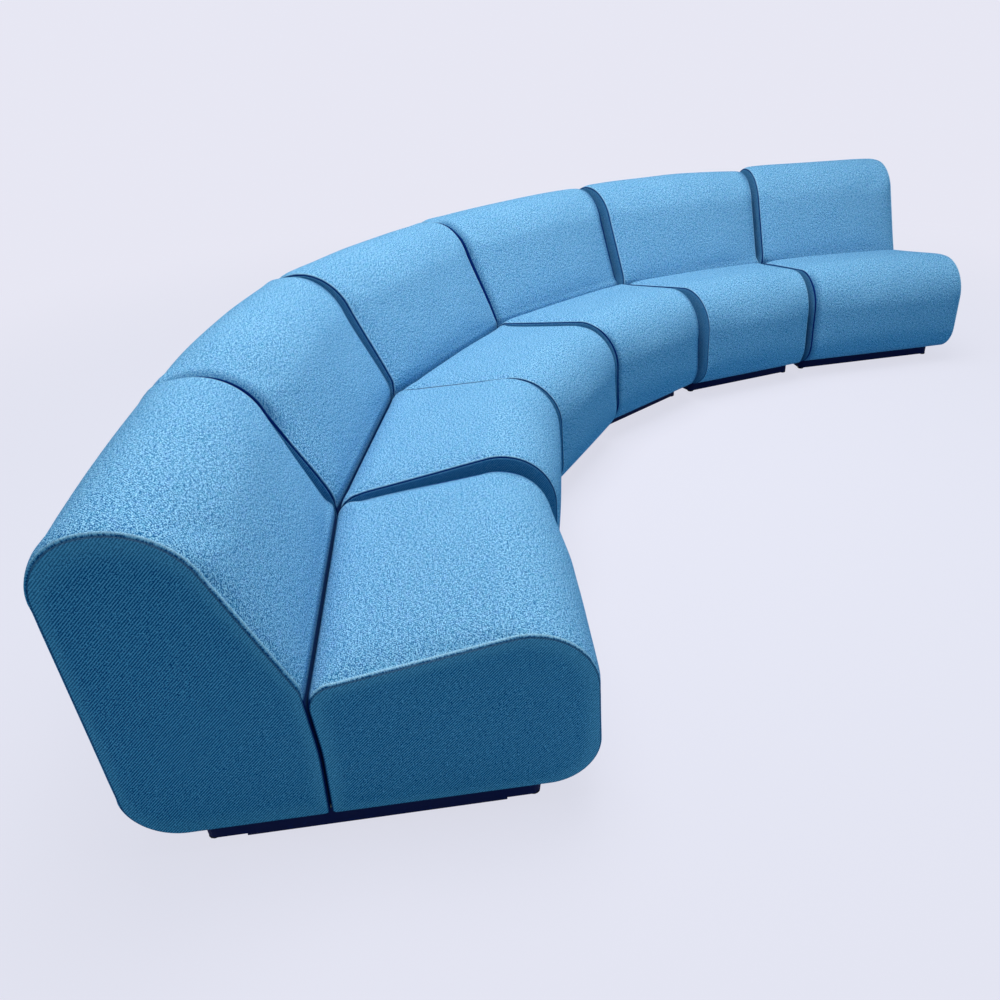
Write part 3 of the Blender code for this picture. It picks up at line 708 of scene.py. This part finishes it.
SHAPES = {
    (seat, pad_name): placed_shape(seat, pad_name, 10 * number + place)
    for number, seat in enumerate(SEATS)
    for place, pad_name in enumerate(PADS)
}
print(len(SHAPES), "pads of", SHAPES["left_end", "back"][..., 0].size, "points each")

# %% [markdown]
# ## Painted shade where the pads meet
# Back and seat press against each other below the crease, and neighbours press side against side. Where
# one seat stands a little in front of the next, its edge stands over the next one's shoulder. The shade
# that falls in these places is painted into the wool's colour. A number on every point of a pad tells the
# wool how much painted shade it takes: 1 in the crease and right at a seam that touches a neighbour, and
# one amount all over a side panel that stands beside a neighbour.


# %% Which neighbour stands in front
def seam_line(seat, pad_name, right):
    """The points of a pad's left or right seam, in the sofa's frame."""
    strip = kind_of(seat, pad_name)["strip"]
    return SHAPES[seat, pad_name][strip.stop - 1 if right else strip.start]


def stands_proud(seat, pad_name, right):
    """How far the neighbour's seam stands in front of this pad's own seam, at every column."""
    names = list(SEATS)
    place = names.index(seat) + (1 if right else -1)
    if not 0 <= place < len(names):
        return None
    front = outwards(kind_of(seat, pad_name)) @ np.array(seat_matrix(seat))[:3, :3].T
    apart = seam_line(names[place], pad_name, not right) - seam_line(seat, pad_name, right)
    return (apart * front).sum(axis=1)


for seat in list(SEATS)[:-1]:
    proud = stands_proud(seat, "back", True) * 1000
    print(f"the next seat stands {proud.min():.0f} to {proud.max():.0f} mm in front of {seat}")

# %% The number on every point
# Distances over which the painted shade fades, and how much of it each cause gives.
CREASE_SHADE_FADES = (0.0108, 0.0180)
NEAR_CREASE = (0.007, 0.034)
CREASE_SHARE = {"back": 0.15, "seat": 0.04}
# Painted shade all over a side panel that stands beside a neighbour.
PANEL_SHADE = 0.66
# Painted shadow beside a neighbour that stands in front: how proud it must stand, how wide and dark the
# shadow is, and the painted contact shadow right at the seam.
PROUD = (0.001, 0.010)
MOST_PROUD = 0.02
EDGE_SHADOW_WIDTH = 0.040
EDGE_SHADOW = 0.70
CONTACT_SHADOW = 0.30
CONTACT_SHADOW_FADE = 0.004


def painted_edge_shadow(proud, distance):
    """How much painted shadow the strip takes beside a neighbour that stands in front, by row and column.

    It is the larger of a share of smooth(how proud the neighbour stands) (1 - smooth(distance from the
    seam)), which is a painted shadow of the neighbour's edge, and 1 right at the seam, which is a painted
    contact shadow over a width that grows with how proud the neighbour stands."""
    edge_shadow = smooth(*PROUD, proud) * (1 - smooth(0.0, EDGE_SHADOW_WIDTH, distance))[:, None] * EDGE_SHADOW
    contact_width = np.clip(proud, 0.0, MOST_PROUD) * CONTACT_SHADOW
    return np.maximum(edge_shadow, 1 - smooth(contact_width, contact_width + CONTACT_SHADOW_FADE, distance[:, None]))


def painted_shade(seat, pad_name):
    """How much painted shade each point takes, from 1 to 0, for every point of the grid and both centres.

    Between the two pads it is 1 - smooth(nearest distance to the other pad's outline), and a small share
    of the same over a wider band gives the soft painted shade beside the crease."""
    fine = kind_of(seat, pad_name)
    other = side_outline(PADS["seat" if pad_name == "back" else "back"], 600)["points"]
    apart = np.linalg.norm(fine["outline"]["points"][:, None] - other, axis=2).min(axis=1)
    shade = CREASE_SHARE[pad_name] * (1 - smooth(*NEAR_CREASE, apart))
    amount, centres = np.zeros(fine["points"].shape[:2]), [0.0, 0.0]
    on_strip = amount[fine["strip"]]
    on_strip[:] = np.maximum(1 - smooth(*CREASE_SHADE_FADES, apart), shade)
    for right in (False, True):
        proud = stands_proud(seat, pad_name, right)
        if proud is not None:
            panel, distance = one_side(fine, right)
            np.maximum(on_strip, painted_edge_shadow(proud, distance), out=on_strip)
            amount[panel] = centres[right] = PANEL_SHADE
    return np.append(amount, centres)


for seat in SEATS:
    print(f"{seat}: back pressed on {(painted_shade(seat, 'back') > 0.5).mean():.0%} of its points")

# %% [markdown]
# ## Writing a material as arithmetic
# A woven cloth is a pattern of numbers: which yarn is on top, how high it stands, how light its wool is.
# Written as a tree of nodes that soon becomes hard to read. A small class wraps one socket and gives it
# the usual operators, so that an expression on values adds the Math nodes by itself.


# %% A socket that can be added and multiplied
def operation(name):
    """A method that puts a Math node of this name on a value and others, which may be numbers."""

    def method(self, *others):
        return math_node(self.tree, name, self, *others)

    return method


class Value:
    """One number, colour or vector that varies over a surface, held by a socket of a node tree."""

    def __init__(self, tree, socket):
        self.tree, self.socket = tree, socket

    __add__ = __radd__ = operation("ADD")
    __sub__ = operation("SUBTRACT")
    __mul__ = __rmul__ = operation("MULTIPLY")
    __truediv__ = operation("DIVIDE")
    __mod__ = operation("FLOORED_MODULO")
    __pow__ = operation("POWER")
    __lt__ = operation("LESS_THAN")
    floor = operation("FLOOR")
    fraction = operation("FRACT")
    size = operation("ABSOLUTE")
    larger = operation("MAXIMUM")

    def __rsub__(self, other):
        return math_node(self.tree, "SUBTRACT", other, self)

    def step(self, start, end):
        """0 up to start and 1 from end, with a smooth rise between them."""
        t = math_node(self.tree, "ADD", (self - start) / (end - start), 0.0, clamp=True)
        return t * t * (t * -2.0 + 3.0)

    def between(self, rise, fall):
        """1 between a smooth rise and a smooth fall, which are (start, end) each."""
        return self.step(*rise) * (1.0 - self.step(*fall))


def connect(tree, given, socket):
    """Links a value to a socket, or sets the socket to a plain number or colour."""
    if isinstance(given, Value):
        tree.links.new(given.socket, socket)
    else:
        socket.default_value = given


def math_node(tree, name, *given, clamp=False):
    """A Math node on values and plain numbers, in this order."""
    node = tree.nodes.new("ShaderNodeMath")
    node.operation, node.use_clamp = name, clamp
    for value, socket in zip(given, node.inputs):
        connect(tree, value, socket)
    return Value(tree, node.outputs[0])


print("a value has", ", ".join(name for name in vars(Value) if name[0] != "_"))


# %% The nodes of a tree
class Nodes:
    """The node tree of a material or of the world, under construction."""

    def __init__(self, tree):
        self.tree = tree

    def node(self, kind, settings=None, output=0, **sockets):
        """A node of this kind, with its settings made first, then its sockets set or linked."""
        node = self.tree.nodes.new("ShaderNode" + kind)
        for name, value in (settings or {}).items():
            setattr(node, name, value)
        inputs = {socket.identifier: socket for socket in node.inputs}
        for name, given in sockets.items():
            connect(self.tree, given, inputs[name])
        if output is None:
            return [Value(self.tree, socket) for socket in node.outputs]
        return Value(self.tree, node.outputs[output])

    def vector(self, x, y, z=0.0):
        """A vector of three numbers or values."""
        return self.node("CombineXYZ", X=x, Y=y, Z=z)

    def parts(self, vector):
        """The x, y and z of a vector."""
        return self.node("SeparateXYZ", output=None, Vector=vector)

    def place(self):
        """Where a point is, by the object's own coordinates."""
        return self.node("TexCoord", output="Object")

    def noise(self, vector, scale, detail=2.0, roughness=0.5):
        """Noise from 0 to 1, around 0.5."""
        return self.node("TexNoise", Vector=vector, Scale=scale, Detail=detail, Roughness=roughness)

    def mixed(self, factor, first, second):
        """A colour between two colours, which is the third output of a Mix node."""
        colours = {"A_Color": first, "B_Color": second}
        return self.node("Mix", {"data_type": "RGBA"}, 2, Factor_Float=factor, **colours)

    def seen(self):
        """1 where the camera looks, straight, by a gloss or through glass, and 0 where light arrives."""
        camera, glossy, transmission = (
            self.node("LightPath", output=f"Is {kind} Ray") for kind in ("Camera", "Glossy", "Transmission")
        )
        return camera.larger(glossy).larger(transmission)


print("a tree has", ", ".join(name for name in vars(Nodes) if name[0] != "_"))


# %% A finish
class Finish(Nodes):
    """A Principled material under construction. What doesn't vary is set on the shader itself."""

    def __init__(self, name, **settings):
        self.material = bpy.data.materials.new(name)
        self.material.use_nodes = True
        super().__init__(self.material.node_tree)
        self.shader = self.tree.nodes["Principled BSDF"]
        self.wear(**settings)

    def wear(self, **sockets):
        """Sets what is even, and links what varies, which is the colour, roughness or normal."""
        for name, given in sockets.items():
            connect(self.tree, given, self.shader.inputs[name.replace("_", " ")])
        return self.material

    def bump(self, height, strength):
        """A normal that is tilted by a height in metres."""
        return self.node("Bump", Height=height, Distance=1.0, Strength=strength)


print("a finish has", ", ".join(name for name in vars(Finish) if name[0] != "_"))

# %% [markdown]
# ## The wool
# The cloth is a twill of melange yarn: each yarn is spun from light, middle and dark blue fibres, and a
# yarn passes over two others and under two, one step further in each row, which draws fine diagonal
# lines. Two sets of yarns cross, so the pattern is worked out in yarn widths: the whole part of a
# coordinate names a yarn, and the rest says how far across it a point is.
#
# The tone of a point is one number, which is 0 for the middle blue, more for the light and less for the
# dark. Flecks that run along the yarns, a fine grain, coarser patches and broad clouds are added up.

# %% Yarns of the twill
YARN = 0.00150
FLECK_STEP = 7.3
FLECK_STRETCH = 0.22


def twill(finish, across, up):
    """Which yarn is on top, its relief and its flecks.

    Relief of a yarn is 1 - (2 t - 1)^2 across it, and flecks are noise stretched along it, with a large
    step from each yarn to the next, so that neighbours have nothing in common."""
    warp, weft = across / YARN, up / YARN
    warp_on_top = ((warp.floor() - weft.floor()) % 4.0) < 2.0
    warp_relief = 1.0 - (warp.fraction() * 2.0 - 1.0) ** 2.0
    weft_relief = 1.0 - (weft.fraction() * 2.0 - 1.0) ** 2.0
    warp_fleck = finish.noise(finish.vector(warp.floor() * FLECK_STEP, weft * FLECK_STRETCH), 1.0, 1.0)
    weft_fleck = finish.noise(finish.vector(warp * FLECK_STRETCH, weft.floor() * FLECK_STEP, 5.0), 1.0, 1.0)
    relief = warp_on_top * warp_relief + (1.0 - warp_on_top) * weft_relief
    return warp_on_top, relief, warp_on_top * warp_fleck + (1.0 - warp_on_top) * weft_fleck


print("the twill has", round(0.01 / YARN, 1), "yarns to the centimetre")

# %% Melange wool
# The fibres' colours, then the painted highlight, the painted shade on strips and on panels, and the
# thread's colour, which also paints the darkest shade, then sizes, and places beside the seam.
WOOL_LIGHT = (0.430, 0.745, 0.930, 1.0)
WOOL_MIDDLE = (0.135, 0.410, 0.685, 1.0)
WOOL_DARK = (0.012, 0.120, 0.310, 1.0)
WOOL_TEAL = (0.060, 0.420, 0.600, 1.0)
WOOL_VIOLET = (0.200, 0.340, 0.800, 1.0)
# The colour of the painted highlights beside the seams.
WOOL_HIGHLIGHT = (0.620, 0.900, 1.000, 1.0)
# Painted shade: the colour of a shaded strip, and of a side panel beside a neighbour.
WOOL_PAINTED_SHADE = (0.006, 0.075, 0.210, 1.0)
WOOL_SHADED = (0.006, 0.180, 0.400, 1.0)
# The thread's colour, which also paints the shade in the seam's groove and in the crease.
THREAD_AND_SHADE = (0.001, 0.015, 0.120, 1.0)
TONE_REACH = 1.3
STITCH = 0.0034
YARN_HEIGHT = 0.00022
FUZZ_HEIGHT = 0.00012
STITCH_HEIGHT = 0.0003
# Painted highlight beside the seam on the strip, and painted highlight round the edge of a panel.
RIDGE_HIGHLIGHT = ((0.0008, 0.0014), (0.0024, 0.0056))
RIM_HIGHLIGHT = (-0.034, -0.004)
# The groove's dark line is the thread and painted shade in the groove.
GROOVE = ((-0.0026, -0.0014), (0.0002, 0.0008))


def melange(finish, tone, place):
    """The colour of a tone. The middle blue leans to teal and to violet from patch to patch."""
    hue = finish.noise(place, 55.0, 2.0, 0.6)
    middle = finish.mixed(hue.step(0.50, 0.75) * 0.45, WOOL_MIDDLE, WOOL_TEAL)
    middle = finish.mixed((1.0 - hue.step(0.25, 0.50)) * 0.35, middle, WOOL_VIOLET)
    darker = finish.mixed((tone * -1.0).step(0.0, TONE_REACH), middle, WOOL_DARK)
    return finish.mixed(tone.step(0.0, TONE_REACH), darker, WOOL_LIGHT)


def wool(name):
    """Wool twill: a painted highlight and a dark thread line with painted shade along every seam,
    and painted shade in creases and between pads.
    """
    finish = Finish(
        name,
        Roughness=0.9,
        IOR=1.45,
        Specular_IOR_Level=0.05,
        Sheen_Weight=0.08,
        Sheen_Roughness=0.50,
        Sheen_Tint=(0.18, 0.55, 1.0, 1.0),
    )
    across, up, _ = finish.parts(finish.node("UVMap", {"uv_map": "cloth"}))
    along, inwards, _ = finish.parts(finish.node("UVMap", {"uv_map": "seam"}))
    # How much painted shade this point takes: in the crease, between pads and beside a neighbour's edge.
    shade_amount = finish.node("Attribute", {"attribute_name": "painted_shade"}, "Fac")
    place = finish.vector(across, up)
    panel = 1.0 - inwards.step(-0.0004, 0.0004)

    warp_on_top, relief, fleck = twill(finish, across, up)
    grain = finish.noise(place, 400.0, 1.0, 0.6)
    patch = finish.noise(place, 165.0, 2.0, 0.80)
    cloud = finish.noise(place, 7.0, 2.0, 0.5)
    tone = (fleck - 0.5) * 2.4 + (grain - 0.5) * 11.0 + (patch - 0.5) * 6.0 + (cloud - 0.5) * 0.3
    tone = tone + (warp_on_top - 0.5) * (panel * 2.6 + 0.6) + (relief - 0.66) * 0.9
    tone = tone * (panel * 2.0 + 1.0) + panel * 0.24

    free = 1.0 - shade_amount
    # Painted highlights: a pale line beside every seam, and a pale band round each side panel's edge.
    ridge = inwards.between(*RIDGE_HIGHLIGHT) * free
    rim_highlight = panel * inwards.step(*RIM_HIGHLIGHT) * (1.0 - shade_amount.step(0.0, 0.5))
    # The seam's dark line: thread colour and painted shade in its groove.
    groove = inwards.between(*GROOVE) * free
    # The deepest painted shade, nearly black, in the crease and at seams that touch a neighbour.
    deepest_shade = shade_amount.step(0.72, 0.98)
    colour = finish.mixed(ridge * 0.50 + rim_highlight * 0.24, melange(finish, tone, place), WOOL_HIGHLIGHT)
    colour = finish.mixed(shade_amount * 0.95, colour, finish.mixed(panel, WOOL_PAINTED_SHADE, WOOL_SHADED))
    colour = finish.mixed((groove * 0.58).larger(deepest_shade), colour, THREAD_AND_SHADE)

    fuzz = finish.noise(place, 1500.0, 1.0)
    stitch = ((along / STITCH).fraction() * 2.0 - 1.0).size()
    height = relief * YARN_HEIGHT + fuzz * FUZZ_HEIGHT + groove * stitch * STITCH_HEIGHT
    roughness = (grain - 0.5) * 0.15 + 0.90
    return finish.wear(Base_Color=colour, Roughness=roughness, Normal=finish.bump(height, 0.7))


WOOL = wool("sky_blue_wool")
print(WOOL.name, "has", len(WOOL.node_tree.nodes), "nodes")

# %% [markdown]
# ## The twelve pads
# Each pad takes its kind's cover and its own waves, and is turned to its seat's place. The object itself
# stays at the origin and unturned, so the place is in the mesh, as it is for the packed parts.


# %% Make and place the pads
def dressed_pad(seat, pad_name):
    """One finished pad that stands for its CAD node."""
    name, node = f"{seat}_{pad_name}_cover", f"{seat}_{pad_name}_pad"
    points = SHAPES[seat, pad_name]
    mesh = closed_mesh(name, points)
    cloth, beside = cloth_coordinates(kind_of(seat, pad_name))
    for layer, values in (("cloth", cloth), ("seam", beside)):
        mesh.uv_layers.new(name=layer).data.foreach_set("uv", values.astype(np.float32).ravel())
    # The painted shade goes on the mesh as a number on every point.
    amount = mesh.attributes.new("painted_shade", "FLOAT", "POINT")
    amount.data.foreach_set("value", painted_shade(seat, pad_name).astype(np.float32))
    mesh.materials.append(WOOL)
    cover = put_in(name, mesh)
    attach(cover, "sofa")
    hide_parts(node)
    box = np.stack([points.min(axis=(0, 1)), points.max(axis=(0, 1))])
    out = np.abs(box - np.array(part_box(node))).max()
    print(f"{name}: {len(mesh.polygons)} faces, box within {out * 1000:.1f} mm of the CAD pad")


for seat, pad_name in SHAPES:
    dressed_pad(seat, pad_name)

# %% [markdown]
# ## Plinths and glides
# The packed parts keep their shapes and get their finishes here. The plinths and the glides' feet are
# moulded in near-black plastic: its mould leaves a fine spark texture, and feet and floors scuff it pale
# near the ground.


# %% Moulded plastic
def brightened(colour, times, more=0.0):
    """A colour with its red, green and blue multiplied and raised, and at most 1."""
    return (*(min(1.0, part * times + more) for part in colour[:3]), 1.0)


def refinish(node, material):
    """Gives a packed part a material of its own."""
    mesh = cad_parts[node].data
    mesh.materials.clear()
    mesh.materials.append(material)


def moulded_plastic(name, colour, grain):
    """Near-black moulding: fine spark texture, paler scuffs near the floor."""
    finish = Finish(name, Roughness=0.7, IOR=1.49, Specular_IOR_Level=0.12)
    place = finish.place()
    _, _, height = finish.parts(place)
    speckle = finish.noise(place, grain, 2.0)
    smear = finish.noise(place, 14.0, 3.0)
    scuff = (1.0 - height.step(0.002, 0.022)) * finish.noise(place, 70.0, 3.0, 0.7).step(0.5, 0.72)
    tint = finish.mixed(smear, colour, brightened(colour, 1.5))
    tint = finish.mixed(scuff * 0.5, tint, brightened(colour, 3.5, 0.02))
    roughness = smear * 0.14 + speckle * 0.08 + scuff * 0.1 + 0.60
    return finish.wear(Base_Color=tint, Roughness=roughness, Normal=finish.bump(speckle * 0.0002, 0.5))


PLINTH = moulded_plastic("dark_moulded_plastic", (0.004, 0.009, 0.060, 1.0), 900.0)
GLIDE = moulded_plastic("glide_plastic", (0.012, 0.013, 0.016, 1.0), 1400.0)
glides = [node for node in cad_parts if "_glide_" in node]
for seat in SEATS:
    refinish(f"{seat}_plinth", PLINTH)
for node in glides:
    refinish(node, GLIDE)
print(len(SEATS), "plinths and", len(glides), "glides are plastic")

# %% [markdown]
# ## Boards and joining plates
# The boards inside the pads are birch plywood, whose grain runs along the seat and whose edges show the
# glue between the plies. The grain turns with its seat, so each seat has a plywood of its own. The plates
# that join the seats under the plinths are brushed steel.


# %% Plywood
def turned_place(finish, turn, scale=(1.0, 1.0, 1.0)):
    """Where a point is, scaled and then turned about the vertical by a Mapping node."""
    return finish.node("Mapping", Vector=finish.place(), Rotation=(0.0, 0.0, -turn), Scale=scale)


def plywood(name, turn):
    """Birch plywood: long grain lines along the seat, and dark glue lines between the plies."""
    finish = Finish(name, Roughness=0.6)
    x, y, z = finish.parts(turned_place(finish, turn))
    grain = finish.noise(finish.vector(x * 3.0, y * 90.0, z * 90.0), 1.0, 4.0, 0.6)
    ply = ((z / 0.0015).fraction() * 2.0 - 1.0).size().step(0.75, 0.95)
    colour = finish.mixed(grain, (0.52, 0.36, 0.20, 1.0), (0.72, 0.56, 0.36, 1.0))
    colour = finish.mixed(ply * 0.35, colour, (0.22, 0.13, 0.06, 1.0))
    relief = finish.bump(grain * 0.0001, 0.6)
    return finish.wear(Base_Color=colour, Roughness=grain * 0.2 + 0.5, Normal=relief)


for seat, (_, _, turn, _) in SEATS.items():
    boards = plywood(f"{seat}_plywood", math.radians(turn))
    for node in (f"{seat}_deck", f"{seat}_back_board"):
        refinish(node, boards)
print(2 * len(SEATS), "boards are plywood")


# %% Brushed steel
def brushed_steel(name, turn):
    """Steel with fine lines: noise that is drawn out 65 times in one direction."""
    finish = Finish(name, Metallic=1.0)
    lines = finish.noise(turned_place(finish, turn, (40.0, 2600.0, 2600.0)), 1.0, 2.0)
    colour = finish.mixed(lines, (0.42, 0.43, 0.44, 1.0), (0.62, 0.63, 0.64, 1.0))
    relief = finish.bump(lines * 0.00004, 0.6)
    return finish.wear(Base_Color=colour, Roughness=lines * 0.25 + 0.28, Normal=relief)


turns = [turn for _, _, turn, _ in SEATS.values()]
for number, (turn, after) in enumerate(zip(turns, turns[1:]), 1):
    steel = brushed_steel(f"joining_plate_{number}_steel", math.radians((turn + after) / 2))
    refinish(f"joining_plate_{number}", steel)
print(len(turns) - 1, "joining plates are steel")

# %% [markdown]
# ## The floor
# The studio is plain and pale. The floor keeps the sofa's shadow, so near the sofa it is a diffuse surface
# that light falls on. The camera mostly sees an even pale tone in its place, as it would in a studio with
# much light on the backdrop, and further out it sees nothing else. Light that the floor throws back up
# takes the floor's own, darker and bluer colour, so that the sofa's lower parts stay a deep blue.

# %% Floor
PALE = (0.800, 0.800, 0.900, 1.0)
FLOOR = (0.220, 0.400, 0.540, 1.0)
EVEN_NEAR = 0.85
SHADOW_FADES = (1.2, 4.0)
FLOOR_CORNERS = [(-40, -40, 0), (40, -40, 0), (40, 40, 0), (-40, 40, 0)]


def pale_floor(name):
    """Diffuse near the sofa, where it keeps the shadow, and an even pale tone for the camera further out."""
    finish = Finish(name)
    x, y, _ = finish.parts(finish.place())
    far = ((x * x + y * y) ** 0.5).step(*SHADOW_FADES)
    seen = finish.seen()
    plain = finish.node("BsdfDiffuse", Color=finish.mixed(seen, FLOOR, PALE))
    even = finish.node("Emission", Color=PALE)
    share = (far * (1 - EVEN_NEAR) + EVEN_NEAR) * seen
    mix = finish.node("MixShader", Fac=share, Shader=plain, Shader_001=even)
    connect(finish.tree, mix, finish.tree.nodes["Material Output"].inputs["Surface"])
    return finish.material


floor_mesh = bpy.data.meshes.new("floor")
floor_mesh.from_pydata(FLOOR_CORNERS, [], [(0, 1, 2, 3)])
floor_mesh.materials.append(pale_floor("pale_floor"))
put_in("floor", floor_mesh)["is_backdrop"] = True
print("the floor is", FLOOR_CORNERS[1][0] - FLOOR_CORNERS[0][0], "m wide")

# %% [markdown]
# ## The light
# One large soft light hangs above the arc, a little to the left. The room itself gives a weak blue fill to
# the shadows, and the camera sees the same pale tone behind the floor's edge.

# %% Room and light
FILL = (0.018, 0.160, 0.255, 1.0)

world = bpy.data.worlds.new("pale_room")
bpy.context.scene.world = world
world.use_nodes = True
room = Nodes(world.node_tree)
connect(room.tree, room.mixed(room.seen(), FILL, PALE), room.tree.nodes["Background"].inputs["Color"])

key = bpy.data.lights.new("softbox", "AREA")
key.shape, key.size, key.size_y, key.energy = "RECTANGLE", 3.0, 2.4, 138.0
key.color = (1.0, 0.98, 0.975)
lamp = put_in("softbox", key)
lamp.location = (-0.25, -0.18, 3.5)
lamp.rotation_euler = (math.radians(-2), math.radians(-3), 0.0)
print(f"a softbox of {key.size:.1f} by {key.size_y:.1f} m, {lamp.location.z:.1f} m up")

# %% [markdown]
# ## The camera
# The camera stands where the photograph was taken from: in front of the left end, a little above a
# sitter's head, looking down across the arc. Its focal length and the middle of its view are given in
# pixels of an image 1000 wide, and become a lens and a shift.

# %% Camera
IMAGE = 1000
CAMERA_PLACE = (-2.4461, -1.5136, 1.3698)
YAW, PITCH, ROLL = math.radians(56.609), math.radians(31.262), math.radians(-1.132)
FOCAL, MIDDLE_X, MIDDLE_Y = 869.35, 587.85, 528.71

lens = bpy.data.cameras.new("camera")
lens.sensor_width = 36.0
lens.lens = FOCAL / IMAGE * lens.sensor_width
lens.shift_x = (IMAGE / 2 - MIDDLE_X) / IMAGE
lens.shift_y = (MIDDLE_Y - IMAGE / 2) / IMAGE
look = np.array([math.sin(YAW) * math.cos(PITCH), math.cos(YAW) * math.cos(PITCH), -math.sin(PITCH)])
level = np.array([math.cos(YAW), -math.sin(YAW), 0.0])
upright = np.cross(level, look)
right = math.cos(ROLL) * level + math.sin(ROLL) * upright
upper = -math.sin(ROLL) * level + math.cos(ROLL) * upright
turned = np.eye(4)
turned[:3] = np.column_stack([right, upper, -look, CAMERA_PLACE])
camera = put_in("camera", lens)
camera.matrix_world = Matrix(turned.tolist())
bpy.context.scene.camera = camera
bpy.context.scene.view_settings.view_transform = "Standard"
print(f"a lens of {lens.lens:.1f} mm, {CAMERA_PLACE[2]:.2f} m up")

# %% [markdown]
# ## Sizes
# The dressed sofa has to stay as large as the packed one, so both boxes are worked out and their sizes
# printed.

# %% Sizes and the end
shown_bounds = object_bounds()
sizes = {"cad": [list(corner) for corner in cad_bounds], "visual": [list(corner) for corner in shown_bounds]}
for kind, (low, high) in sizes.items():
    print(kind, [round((top - bottom) * 1000, 1) for bottom, top in zip(low, high)], "mm")
